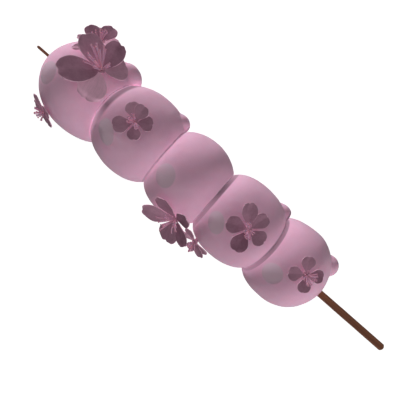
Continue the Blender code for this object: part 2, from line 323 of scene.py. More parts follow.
@dataclass(frozen=True)
class Finish:
    """What every finish shares: a name, its shader's plain values, and its unevenness."""

    name: str
    roughness: float
    constants: dict = field(default_factory=dict)
    swing: float = 0.0  # how far the roughness rises with the unevenness, either side of its middle
    scales: tuple = (500.0, 3000.0)  # of the unevenness: its broad clouds and its fine grain
    depth: float = 0.08 * MM  # of the surface's fine relief
    relief: float = 0.6  # how much of that relief shows

    def material(self) -> Material:
        """Builds the material.

        Returns:
            The material, its shader fed with what `paint` gives.
        """
        material = bpy.data.materials.new(self.name)
        material.use_nodes = True
        bench = NodeBench(material.node_tree)
        entries = material.node_tree.nodes["Principled BSDF"].inputs
        coords = bench.add("ShaderNodeTexCoord").outputs["Object"]
        values = {"Roughness": self.roughness, **self.constants, **self.paint(bench, coords)}
        for key, value in values.items():
            bench.feed(entries[key], value)
        return material

    def paint(self, bench: NodeBench, coords: Socket) -> dict[str, Socket]:
        """What feeds the shader, by the name of its input; each finish has its own."""
        raise NotImplementedError

    def uneven(self, bench: NodeBench, coords: Socket, scales: tuple | None = None) -> bpy.types.NodeOutputs:
        """Places the shared unevenness group.

        Args:
            bench: The material's bench.
            coords: Places on the piece.
            scales: Of its clouds and its grain, where they aren't the finish's own.

        Returns:
            Its outputs, Tone and Height.
        """
        tree = bpy.data.node_groups.get(UNEVENNESS) or uneven_group()
        inputs = dict(zip(("Vector", "Broad", "Fine"), (coords, *(scales or self.scales))))
        return bench.add("ShaderNodeGroup", inputs, node_tree=tree).outputs

    def surface(self, bench: NodeBench, tone: Socket, height: Socket) -> dict[str, Socket]:
        """What feeds the roughness and the normal.

        Args:
            bench: The material's bench.
            tone: The unevenness that the roughness swings with.
            height: The relief, 0 to 1.

        Returns:
            The sockets, by the name of the shader's input.
        """
        inputs = {"Height": height, "Distance": self.depth, "Strength": self.relief}
        fed = {"Normal": bench.add("ShaderNodeBump", inputs).outputs[0]}
        if self.swing:
            ends = self.roughness - self.swing, self.roughness + self.swing
            fed["Roughness"] = bench.rerange(tone, 0.0, 1.0, *ends)
        return fed


@dataclass(frozen=True)
class DoughFinish(Finish):
    """Boiled rice dough: pink, a little see-through, with a damp gloss; shade is painted where balls press,
    and highlights are painted in round spots that shine more.
    """

    name: str = "rice_dough"
    roughness: float = 0.4
    constants: dict = field(default_factory=lambda: {
        "Subsurface Weight": 0.4, "Subsurface Radius": (1.0, 0.4, 0.5), "Subsurface Scale": 1.0 * MM,
        "Coat Roughness": 0.05, "Specular IOR Level": 0.15,
    })
    swing: float = -0.05
    scales: tuple = (110.0, 700.0)
    pores: tuple = (420.0, 2200.0)  # scales of the fine relief
    depth: float = 0.12 * MM
    relief: float = 0.5
    deep: tuple = (0.785, 0.445, 0.61)
    pale: tuple = (0.82, 0.485, 0.645)
    # colour of the shade painted where neighbouring balls meet
    at_seams: tuple = (0.10, 0.065, 0.085)
    # colour of the highlight painted in the round spots
    highlight_spot: tuple = (0.61, 0.395, 0.50)
    highlight_top: tuple = (0.78, 0.54, 0.67)  # painted highlight, lighter at a spot's upper end
    spot_edge: tuple = (0.93, 1.05)  # where a spot's painted highlight and extra gloss start and stop to fade
    coat_off_spots: float = 0.25  # coat gloss outside the spots

    def paint(self, bench: NodeBench, coords: Socket) -> dict[str, Socket]:
        """What feeds the shader.

        Args:
            bench: The material's bench.
            coords: Places on the piece, which also keeps `painted_seam_shade`, painted shade that is 1 where
                a neighbour touches, and `spot`, where a highlight is painted.

        Returns:
            The sockets.
        """
        tone = self.uneven(bench, coords)["Tone"]
        skin = bench.mix_colour(tone, self.deep, self.pale)
        # painted shade where neighbouring balls meet
        skin_with_seam_shade = bench.mix_colour(bench.attribute("painted_seam_shade"), skin, self.at_seams)
        # the spot's painted highlight, lighter towards its top; the same share raises the coat gloss
        offsets = bench.attribute("spot", "Vector")
        off = bench.add("ShaderNodeVectorMath", {0: offsets}, operation="LENGTH").outputs["Value"]
        highlight_spot = bench.rerange(off, *self.spot_edge, 1.0, 0.0)
        upward = bench.add("ShaderNodeSeparateXYZ", {0: offsets}).outputs[1]
        highlight_colour = bench.mix_colour(bench.rerange(upward, 0.0, 1.0), self.highlight_spot, self.highlight_top)
        return {
            "Base Color": bench.mix_colour(highlight_spot, skin_with_seam_shade, highlight_colour),
            "Coat Weight": bench.rerange(highlight_spot, 0.0, 1.0, self.coat_off_spots, 1.0),
            **self.surface(bench, tone, self.uneven(bench, coords, self.pores)["Height"]),
        }


@dataclass(frozen=True)
class PetalFinish(Finish):
    """Salted cherry blossom: dusky mauve, faintly veined, thin and matt, with light and shade painted petal
    by petal and a highlight painted along its rim.
    """

    name: str = "cherry_petal"
    roughness: float = 0.7
    constants: dict = field(default_factory=lambda: {"Specular IOR Level": 0.2})
    swing: float = 0.08
    scales: tuple = (260.0, 1500.0)
    deep: tuple = (0.272, 0.124, 0.186)
    pale: tuple = (0.86, 0.50, 0.65)
    vein: tuple = (0.21, 0.095, 0.14)
    # colour of the highlight painted along each petal's rim
    rim: tuple = (0.80, 0.48, 0.61)
    clouding: float = 0.2  # how much of the pale tone the unevenness brings
    vein_count: tuple = (13.0, 1.5, 1.0)  # across the petal and along it
    vein_tint: float = 0.12
    vein_width: float = 0.06
    grain_height: float = 0.6  # shares of the relief that the grain raises
    vein_depth: float = 0.25  # and that the veins sink
    # how strongly the rim highlight is painted
    rim_highlight_strength: float = 0.7
    rim_sides: float = 0.93  # where the painted rim highlight starts, as a share of the way to the petal's sides
    rim_tip: float = 0.965  # and of the way to its tip

    def paint(self, bench: NodeBench, coords: Socket) -> dict[str, Socket]:
        """What feeds the shader.

        Args:
            bench: The material's bench.
            coords: Places on the piece, which also keeps each petal's map, its `painted_lightness`, the light
                and shade painted on the whole petal, and its `chance`.

        Returns:
            The sockets.
        """
        petal_map = bench.add("ShaderNodeUVMap", uv_map="petal_map").outputs[0]
        across, along, _ = bench.add("ShaderNodeSeparateXYZ", {0: petal_map}).outputs
        fan = bench.add("ShaderNodeMapping", {"Vector": petal_map, "Scale": self.vein_count}).outputs[0]
        chance = bench.attribute("chance")
        inputs = {"Vector": fan, "W": chance, "Scale": 1.0, "Detail": 2.0, "Distortion": 0.2}
        streak = bench.add("ShaderNodeTexNoise", inputs, noise_dimensions="4D").outputs[0]
        ridge = bench.math("ABSOLUTE", bench.math("SUBTRACT", streak, 0.5))
        veins = bench.rerange(ridge, 0.0, self.vein_width, 1.0, 0.0)
        cloud = self.uneven(bench, coords)
        # random clouding plus the light and shade painted on each petal
        share = bench.math("ADD", bench.times(cloud["Tone"], self.clouding), bench.attribute("painted_lightness"))
        flesh = bench.mix_colour(bench.rerange(share, 0.0, 1.0), self.deep, self.pale)
        veined = bench.mix_colour(bench.times(veins, self.vein_tint), flesh, self.vein)
        # highlight painted along the rim, on the sides and at the tip
        sides = bench.math("ABSOLUTE", bench.math("SUBTRACT", bench.times(across, 2.0), 1.0))
        rim_highlights = bench.rerange(sides, self.rim_sides, 1.0), bench.rerange(along, self.rim_tip, 1.0)
        edge = bench.times(bench.math("MAXIMUM", *rim_highlights), self.rim_highlight_strength)
        grain, sunk = bench.times(cloud["Height"], self.grain_height), bench.times(veins, self.vein_depth)
        return {
            "Base Color": bench.mix_colour(edge, veined, self.rim),
            **self.surface(bench, cloud["Tone"], bench.math("SUBTRACT", grain, sunk)),
        }


@dataclass(frozen=True)
class StamenFinish(Finish):
    """Threads that pale towards their tips, and anthers a shade deeper."""

    name: str = "stamen"
    roughness: float = 0.55
    constants: dict = field(default_factory=lambda: {"Subsurface Weight": 0.2, "Subsurface Scale": 0.3 * MM})
    swing: float = 0.1
    scales: tuple = (900.0, 5000.0)
    depth: float = 0.05 * MM
    relief: float = 0.5
    foot: tuple = (0.33, 0.155, 0.225)
    thread: tuple = (0.50, 0.26, 0.37)
    anther: tuple = (0.50, 0.25, 0.36)
    paled: float = 0.6  # how far up a thread has its full tone
    anther_edge: tuple = (0.85, 0.95)  # where the thread's tone turns into the anther's

    def paint(self, bench: NodeBench, coords: Socket) -> dict[str, Socket]:
        """What feeds the shader.

        Args:
            bench: The material's bench.
            coords: Places on the piece, which also keeps `reach`: 0 at a thread's foot, 1 on an anther.

        Returns:
            The sockets.
        """
        reach, cloud = bench.attribute("reach"), self.uneven(bench, coords)
        thread = bench.mix_colour(bench.rerange(reach, 0.0, self.paled), self.foot, self.thread)
        colour = bench.mix_colour(bench.rerange(reach, *self.anther_edge), thread, self.anther)
        return {"Base Color": colour, **self.surface(bench, cloud["Tone"], cloud["Height"])}


@dataclass(frozen=True)
class CloudedFinish(Finish):
    """A surface whose colour drifts between two tones."""

    dark: tuple = (0.34, 0.15, 0.21)
    light: tuple = (0.52, 0.27, 0.37)
    stretch: tuple = (1.0, 1.0, 1.0)  # how fast the tone drifts along the stick, across it and upwards

    def paint(self, bench: NodeBench, coords: Socket) -> dict[str, Socket]:
        """What feeds the shader.

        Args:
            bench: The material's bench.
            coords: Places on the piece.

        Returns:
            The sockets.
        """
        drawn = bench.add("ShaderNodeMapping", {"Vector": coords, "Scale": self.stretch}).outputs[0]
        cloud = self.uneven(bench, drawn)
        colour = bench.mix_colour(cloud["Tone"], self.dark, self.light)
        return {"Base Color": colour, **self.surface(bench, cloud["Tone"], cloud["Height"])}


@dataclass(frozen=True)
class CupFinish(CloudedFinish):
    """The small fleshy cup under a blossom, in clouded mauve."""

    name: str = "blossom_cup"
    roughness: float = 0.6


@dataclass(frozen=True)
class WoodFinish(CloudedFinish):
    """Dark stained wood with fine grain along the stick."""

    name: str = "dark_wood"
    roughness: float = 0.48
    swing: float = -0.08
    scales: tuple = (900.0, 4200.0)
    depth: float = 0.06 * MM
    relief: float = 0.7
    dark: tuple = (0.12, 0.039, 0.018)
    light: tuple = (0.30, 0.11, 0.055)
    stretch: tuple = (0.035, 1.0, 1.0)


# The stick


@dataclass(frozen=True)
class SkewerLine:
    """The stick's line, and the frame that the skewer is described in: x along it from its tip, z up."""

    tip_x: float
    axis_y: float
    height_at_tip: float = 14.3 * MM
    slope: float = math.radians(0.51)
    length: float = 150 * MM
    aside_at_tip: float = 0.1 * MM
    aside_at_handle: float = -0.6 * MM
    tip_radius: float = 0.47 * MM
    handle_radius: float = 1.25 * MM
    taper_length: float = 70 * MM

    @classmethod
    def of_part(cls) -> "SkewerLine":
        """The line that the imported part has."""
        low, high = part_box("dango_3")
        return cls(tip_x=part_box("skewer_stick")[0].x, axis_y=(low.y + high.y) / 2)

    def to_part(self) -> Matrix:
        """The matrix from the skewer's frame to the part's."""
        tip = Matrix.Translation((self.tip_x, self.axis_y, self.height_at_tip))
        return tip @ Matrix.Rotation(self.slope, 4, "Y")

    def radius(self, place: Array) -> Array:
        """The stick's radius at each place along it."""
        share = smooth_step(np.asarray(place, float), 0.0, self.taper_length)
        return self.tip_radius + (self.handle_radius - self.tip_radius) * share

    def aside(self, place: Array) -> Array:
        """How far the stick's middle stands to +Y of the line at each place, as it runs a little askew."""
        change = self.aside_at_handle - self.aside_at_tip
        return self.aside_at_tip + change * np.asarray(place, float) / self.length


def moved(points: Array, matrix: Matrix) -> Array:
    """Points, one a row, moved by a matrix."""
    rows = np.array(matrix)
    return points.reshape(-1, 3) @ rows[:3, :3].T + rows[:3, 3]


@dataclass
class Stick:
    """The wooden stick, whittled with faint flats and chamfered at both ends."""

    line: SkewerLine
    material: Material
    sides: int = 40
    stations: int = 150
    flats: int = 8
    flat_depth: float = 0.045  # share of the radius
    flat_power: float = 0.7  # of the flats' profile; below 1 they are broad, with narrow ridges between
    twist: float = 0.25  # how far the flats wander round the stick, in radians
    wander: float = 22 * MM  # the length over which they do
    seed: float = 4.0  # of that wandering
    chamfer: float = 0.5 * MM
    tip_step: float = 0.18 * MM  # from the tip to the next ring
    tip_shares: tuple[float, float] = (0.7, 0.9)  # of the full radius, on those two rings
    handle_step: float = 0.12 * MM  # from the handle's end to the ring before it
    handle_cuts: tuple[float, float] = (1.05, 0.75)  # shares of the chamfer that those two rings lose
    sharp: float = math.radians(35)

    def build(self) -> None:
        """Builds the stick, as the piece that stands for its node."""
        line, count = self.line, self.sides
        inner = np.linspace(self.chamfer, line.length - self.chamfer, self.stations)
        places = np.concatenate([[0.0, self.tip_step], inner, [line.length - self.handle_step, line.length]])
        radii = line.radius(places)
        radii[:2] *= self.tip_shares
        radii[:-3:-1] -= self.chamfer * np.array(self.handle_cuts)
        half_flat = np.pi / self.flats
        turns = np.linspace(0, 2 * np.pi, count, endpoint=False)
        twists = np.array([noise.noise(Vector((place / self.wander, 0.0, self.seed))) for place in places])
        within = (turns + self.twist * twists[:, None]) % (2 * half_flat) - half_flat
        rings = radii[:, None] * (1 - self.flat_depth * (1 - np.abs(within) / half_flat) ** self.flat_power)
        skin = around(places[:, None], rings, turns, line.aside(places)[:, None]).reshape(-1, 3)
        ends = [(place, line.aside(place), 0.0) for place in (0.0, line.length)]
        faces = grid_faces(len(places), count, columns_close=True)
        last = (len(places) - 1) * count
        for side in range(count):
            after = (side + 1) % count
            faces += [(len(skin), after, side), (len(skin) + 1, last + side, last + after)]
        mesh = mesh_of("stick", moved(np.concatenate([skin, ends]), line.to_part()), faces)
        mesh.set_sharp_from_angle(angle=self.sharp)
        place_piece("stick", mesh, self.material, "skewer_stick")


# The balls


@dataclass(frozen=True)
class Nub:
    """A soft lump of dough that stands out of a ball; its lengths are in millimetres."""

    roll: float
    lean: float
    radius: float
    reach: float  # how far it stands out beyond the ball

    def toward(self) -> Array:
        """The unit direction to its middle."""
        return np.array(direction_of(self.roll, self.lean))


@dataclass(frozen=True)
class Seam:
    """The flat where two neighbouring balls press on each other, and the shade painted round it."""

    place: float  # along the stick
    radius: float  # of the groove round it
    tilt: float  # degrees that its upper edge leans towards the handle
    tip_shade_width: float  # width of the shade painted round the rim on the side that faces the tip
    shade: tuple[float, ...]  # how dark the painted shade on the rim is, from its near to its far side
    back: float = 0.25 * MM  # width of the shade painted round the rim on the side that faces the handle
    blur: float = 0.12  # share of the width over which the painted shade fades
    spared: float = 0.0  # share of the width that is painted paler, next to the flat
    spared_shade: float = 0.6  # how dark that stretch is painted
    fading: float = 0.2  # how much the painted shade pales over its width

    def slant(self) -> float:
        """Its tilt in radians."""
        return math.radians(self.tilt)


@dataclass(frozen=True)
class Fold:
    """A faint soft step in a ball's skin, from one direction to another."""

    start: tuple[float, float]  # roll and lean
    end: tuple[float, float]
    depth: float
    width: float

    def height(self, directions: Array, radius: float) -> Array:
        """The height of the step.

        Args:
            directions: Unit directions, one a row.
            radius: The ball's radius.

        Returns:
            One height for each direction.
        """
        first, last = np.array(direction_of(*self.start)), np.array(direction_of(*self.end))
        off = directions @ unit(np.cross(first, last)) * radius
        run = (directions - first) @ (last - first) / ((last - first) @ (last - first))
        fade = smooth_step(run, -0.15, 0.2) * (1 - smooth_step(run, 0.8, 1.15))
        step = self.depth * np.tanh(off / self.width) * np.exp(-((off / (6 * self.width)) ** 2)) * fade
        return np.where(directions @ (first + last) > 0, step, 0.0)


@dataclass(frozen=True)
class HighlightSpot:
    """A round patch with extra gloss and a highlight painted into the dough's colour; its lengths are in
    millimetres.
    """

    roll: float
    lean: float
    wide: float  # half its size, level
    tall: float  # half its size, upwards
    turn: float = math.radians(41)  # from the stick to what is level for the spot

    def offsets(self, points: Array, radius: float) -> Array:
        """How far points lie from the spot's middle, with 1 at its edge.

        Args:
            points: Points about the ball's middle, one a row.
            radius: The ball's radius.

        Returns:
            Level and upward offsets and 0 for each point, or 3 on the ball's other side.
        """
        toward = np.array(direction_of(self.roll, self.lean))
        along = unit(np.array((1.0, 0.0, 0.0)) - toward * toward[0])
        ways = points / np.linalg.norm(points, axis=1)[:, None]
        one, other = ways @ along * radius, ways @ np.cross(toward, along) * radius
        level = math.cos(self.turn) * one + math.sin(self.turn) * other
        upward = math.cos(self.turn) * other - math.sin(self.turn) * one
        level, upward = level / (self.wide * MM), upward / (self.tall * MM)
        offsets = np.stack([level, upward, np.zeros(len(points))], axis=1)
        return np.where((ways @ toward > 0.3)[:, None], offsets, 3.0)


@dataclass
class DoughBall:
    """One ball of dough, squeezed by its neighbours, with the stick through it."""

    number: int
    centre: float
    radius: float
    line: SkewerLine
    material: Material
    tip_seam: Seam | None = None
    handle_seam: Seam | None = None
    nub: Nub | None = None
    folds: tuple[Fold, ...] = ()
    # where a highlight is painted on the dough and its gloss rises
    spot: HighlightSpot | None = None
    free_reach: float = 12.9 * MM  # from its middle to its free end, where no neighbour presses
    overlap: float = 0.15 * MM  # how far neighbouring balls sink into each other
    chamfer: float = 0.2 * MM
    band_slant: float = math.radians(40)  # of the band round the rim that faces the tip
    softness: float = 0.12 * MM  # of the corners that its neighbours press into it
    handle_softness: float = 0.02 * MM  # what the one on the handle's side has on top of that
    nub_blend: float = 0.3 * MM  # how softly its lump grows out of it
    dimple: float = 0.55 * MM  # how deep the stick draws in a free end
    dimple_width: float = 1.9 * MM
    waves: float = 0.16 * MM  # depth of the dough's broad unevenness
    wave_length: float = 0.55  # as a share of the radius
    ripples: float = 0.035 * MM  # depth of its fine unevenness
    ripple_length: float = 0.16  # as a share of the radius
    pleats: float = 0.22 * MM  # depth of the creases round the lump
    pleat_count: int = 5
    pleat_width: float = 0.9 * MM
    shadow: float = 0.1  # how much shadow is painted on the dough near a neighbour
    shadow_reach: float = 4.0 * MM  # how far that painted shadow reaches
    ease: float = 0.15 * MM  # how softly it meets the flat that it rests on
    bore: float = 0.09  # how far off the stick its skin starts, in radians
    bore_reach: float = 4 * MM  # how far off the stick its skin shifts aside with it
    mouth: tuple[float, float] = (0.9 * MM, 0.12 * MM)  # depths of the rings in the bore's mouth
    room: float = 0.02 * MM  # round the stick
    meridians: int = 168
    crowding: float = 0.35  # how much the meridians crowd on the lump's side
    body_rows: int = 46  # of points from the rim to the belly
    edge_rows: int = 16  # round the rim
    flat_rows: int = 5  # from the bore to the rim

    def seam(self, side: Side) -> Seam | None:
        """The seam on that side, if a neighbour presses there."""
        return self.tip_seam if side is Side.TIP else self.handle_seam

    def groove(self, side: Side, directions: Array) -> Array:
        """How far along the stick the tilted groove lies from the ball's middle.

        Args:
            side: The side.
            directions: Unit directions, one a row; only their turn round the stick counts.

        Returns:
            One distance for each direction.
        """
        seam = self.seam(side)
        height = directions[:, 2] / np.maximum(np.hypot(directions[:, 1], directions[:, 2]), 1e-6)
        return abs(seam.place - self.centre) + side.value * seam.radius * height * math.tan(seam.slant())

    def fullness(self, side: Side, directions: Array) -> Array:
        """How square the ball's profile is on one side, so that it passes through its groove.

        Args:
            side: The side.
            directions: Unit directions, one a row.

        Returns:
            The exponent of the profile's superellipse in each direction.
        """
        seam = self.seam(side)
        if seam is None:
            return np.full(len(directions), 2.0)
        along, across = self.groove(side, directions) / self.radius, seam.radius / self.radius
        return halve(
            len(directions), low=1.2, high=8.0, rounds=24,
            rule=lambda power: along**power + across**power > 1,
        )

    def round_body(self, directions: Array) -> Array:
        """The distance from the middle to the round skin, before the neighbours press on it.

        Args:
            directions: Unit directions, one a row.

        Returns:
            One distance for each direction.
        """
        across = np.hypot(directions[:, 1], directions[:, 2]) / self.radius
        distance = np.empty(len(directions))
        for side in Side:
            here = np.sign(directions[:, 0] + 1e-12) == side.value
            reach = self.radius if self.seam(side) else self.free_reach
            power = self.fullness(side, directions[here])
            along = np.abs(directions[here, 0]) / reach
            distance[here] = (along**power + across[here] ** power) ** (-1 / power)
        if self.nub:
            distance = -soft_min(-distance, -self.nub_skin(directions), self.nub_blend)
        return distance

    def nub_skin(self, directions: Array) -> Array:
        """The distance to the lump's skin, and 0 where a direction misses it.

        Args:
            directions: Unit directions, one a row.

        Returns:
            One distance for each direction.
        """
        radius = self.nub.radius * MM
        middle = self.nub.toward() * (self.radius + self.nub.reach * MM - radius)
        forward = directions @ middle
        inside = forward**2 - middle @ middle + radius**2
        return np.where((inside > 0) & (forward > 0), forward + np.sqrt(np.maximum(inside, 0)), 0.0)

    @staticmethod
    def to_plane(depth: float | Array, facing: Array) -> Array:
        """The distance to a plane at that depth, very large in directions that face away from it."""
        return np.where(facing > 1e-3, depth / np.maximum(facing, 1e-3), 1.0)

    def flat(self, side: Side, directions: Array) -> Array:
        """The distance to the flat on one side.

        Args:
            side: The side.
            directions: Unit directions, one a row.

        Returns:
            One distance for each direction.
        """
        seam = self.seam(side)
        tilt = seam.slant()
        facing = (directions[:, 0] * math.cos(tilt) - directions[:, 2] * math.sin(tilt)) * side.value
        return self.to_plane(abs(seam.place - self.centre) * math.cos(tilt) + self.overlap / 2, facing)

    def band(self, directions: Array) -> Array:
        """The distance to the slanting band round the rim that faces the tip.

        Args:
            directions: Unit directions, one a row.

        Returns:
            One distance for each direction.
        """
        facing = -directions[:, 0]
        across = np.sqrt(np.maximum(1 - facing**2, 0))
        rise, run = math.sin(self.band_slant), math.cos(self.band_slant)
        depth = self.groove(Side.TIP, directions) + self.overlap / 2
        level = depth * run + self.tip_seam.radius * rise - self.chamfer
        return self.to_plane(level, facing * run + across * rise)

    def skin(self, directions: Array) -> Array:
        """The distance from the middle to the finished skin.

        Args:
            directions: Unit directions, one a row.

        Returns:
            One distance for each direction.
        """
        distance = self.round_body(directions)
        for side, more in ((Side.TIP, 0.0), (Side.HANDLE, self.handle_softness)):
            if self.seam(side):
                distance = soft_min(distance, self.flat(side, directions), self.softness + more)
        if self.tip_seam:
            distance = soft_min(distance, self.band(directions), self.softness)
        return distance + self.relief(directions)

    def relief(self, directions: Array) -> Array:
        """The small unevenness of hand-rolled dough, its folds, and the creases round its lump.

        Args:
            directions: Unit directions, one a row.

        Returns:
            One height for each direction.
        """
        height = self.waves * bumps(directions, self.wave_length, self.number)
        height += self.ripples * bumps(directions, self.ripple_length, self.number + 9)
        for fold in self.folds:
            height += fold.height(directions, self.radius)
        if self.nub:
            toward = self.nub.toward()
            spread = np.arccos(np.clip(directions @ toward, -1, 1)) * self.radius
            sideways = unit(np.cross(toward, np.array((1.0, 0.0, 0.0))))
            turn = np.arctan2(directions @ sideways, directions @ np.cross(toward, sideways))
            ring = np.exp(-(((spread - self.nub.radius * 0.95 * MM) / self.pleat_width) ** 2))
            pleat = np.abs(np.sin(self.pleat_count / 2 * turn + self.number)) ** 0.5
            height -= self.pleats * ring * (1 - pleat)
        return height

    def painted_seam_shade(self, points: Array) -> Array:
        """How much shade is painted at each point, near where a neighbour presses.

        Args:
            points: Points in the skewer's frame, one a row.

        Returns:
            The painted shade's strength: 1 at the touching flats, falling to 0 a little way off.
        """
        near = np.zeros(len(points))
        farther = points[:, 1] / np.hypot(points[:, 1], points[:, 2])
        for side in Side:
            seam = self.seam(side)
            if seam is None:
                continue
            tilt = seam.slant()
            off = np.abs((seam.place - points[:, 0]) * math.cos(tilt) + points[:, 2] * math.sin(tilt))
            strength = np.interp(farther, np.linspace(-1, 1, len(seam.shade)), seam.shade)
            share = off / (seam.tip_shade_width if side is Side.TIP else seam.back)
            # shade painted on the rim round the seam, fading over its width
            at_seams = strength * (1 - seam.fading * share)
            at_seams *= 1 - smooth_step(share, 1 - seam.blur, 1 + seam.blur)
            if side is Side.TIP and seam.spared:
                full = smooth_step(share, 0.7 * seam.spared, 1.1 * seam.spared)
                at_seams *= seam.spared_shade + (1 - seam.spared_shade) * full
            # a fainter shadow painted farther round the seam
            shaded = self.shadow * (1 - smooth_step(off, 0.0, self.shadow_reach))
            near = np.maximum(near, np.maximum(at_seams, shaded))
        return near

    def angles(self, side: Side, turns: Array) -> Array:
        """Where the rows of one half lie, crowded where the flat's rim turns.

        Args:
            side: The side.
            turns: The meridians' angles round the stick.

        Returns:
            Angles off the stick, one row of them for each meridian, from the bore to the belly.
        """
        if self.seam(side) is None:
            rows = np.linspace(self.bore, math.pi / 2, self.body_rows + self.edge_rows)
            return np.repeat(rows[None, :], len(turns), axis=0)

        def on_flat(angles: Array) -> Array:
            """Whether the flat cuts the round skin at these angles, one for each meridian."""
            ways = self.ways(side, angles[:, None], turns).reshape(-1, 3)
            return self.round_body(ways) > self.flat(side, ways)

        before, beyond = 0.05, 0.2
        rim = halve(len(turns), low=0.05, high=1.5, rounds=30, rule=on_flat)[:, None]
        inner = self.bore + (rim - before - self.bore) * np.linspace(0, 1, self.flat_rows, endpoint=False)
        turn = rim + np.linspace(-before, beyond, self.edge_rows, endpoint=False)
        outer = rim + beyond + (math.pi / 2 - rim - beyond) * np.linspace(0, 1, self.body_rows)
        return np.concatenate([inner, turn, outer], axis=1)

    def ways(self, side: Side, angles: Array, turns: Array) -> Array:
        """Unit directions, meridians by rows by 3, for angles off the stick and turns round it."""
        return around(side.value * np.cos(angles), np.sin(angles), turns[:, None])

    def half(self, side: Side, turns: Array) -> Array:
        """The skin of one half, from the bore's mouth to the belly.

        Args:
            side: The side.
            turns: The meridians' angles round the stick.

        Returns:
            Points in the skewer's frame, meridians by rows by 3.
        """
        ways = self.ways(side, self.angles(side, turns), turns)
        points = ways * self.skin(ways.reshape(-1, 3)).reshape(*ways.shape[:2], 1)
        across = np.hypot(points[..., 1], points[..., 2])
        if self.seam(side) is None:
            points[..., 0] -= side.value * self.dimple * np.exp(-((across / self.dimple_width) ** 2))
        points[..., 0] += self.centre
        near = np.clip(1 - across / self.bore_reach, 0, 1) ** 2
        points[..., 1] += self.line.aside(points[..., 0]) * near
        mouth = []
        for inward in self.mouth:
            place = points[:, 0, 0] - side.value * inward
            mouth.append(around(place, self.line.radius(place) + self.room, turns, self.line.aside(place)))
        return np.concatenate([np.stack(mouth, axis=1), points], axis=1)

    def build(self) -> None:
        """Builds the ball, as the piece that stands for its node."""
        even = np.linspace(0, 2 * np.pi, self.meridians, endpoint=False)
        turns = even - self.crowding * np.sin(even - math.pi / 2)
        tip_half, handle_half = self.half(Side.TIP, turns), self.half(Side.HANDLE, turns)
        columns = np.concatenate([tip_half, handle_half[:, -2::-1]], axis=1)
        skin = columns.reshape(-1, 3)
        points = moved(skin, self.line.to_part())
        points[:, 2] = (points[:, 2] + np.sqrt(points[:, 2] ** 2 + self.ease**2)) / 2
        name = f"dough_ball_{self.number}"
        mesh = mesh_of(name, points, grid_faces(*columns.shape[:2], rows_close=True, columns_close=True))
        # keep the shade painted near the seams, and where the painted highlight spot lies
        mark(mesh, "painted_seam_shade", self.painted_seam_shade(skin))
        mark(mesh, "spot", self.spot.offsets(skin - (self.centre, 0, 0), self.radius))
        place_piece(name, mesh, self.material, f"dango_{self.number}")


# The blossoms


@dataclass(frozen=True)
class Petal:
    """One petal; its lengths are in millimetres."""

    direction: float  # degrees round the flower, from the stick's direction
    length: float
    width: float
    lift: float  # degrees that it rises from the flower's plane
    # the petal's own tone, with light and shade painted into it petal by petal
    painted_lightness: float = 0.2
    curl: float = 0.0  # how far its far edge turns down, as a share of its length


@dataclass(frozen=True)
class Spray:
    """A tuft of stamens that leans one way out of the heart."""

    toward: float  # degrees round the flower
    fan: float  # degrees either side
    count: int
    length: float  # in millimetres
    lean: float  # degrees off the flower's axis


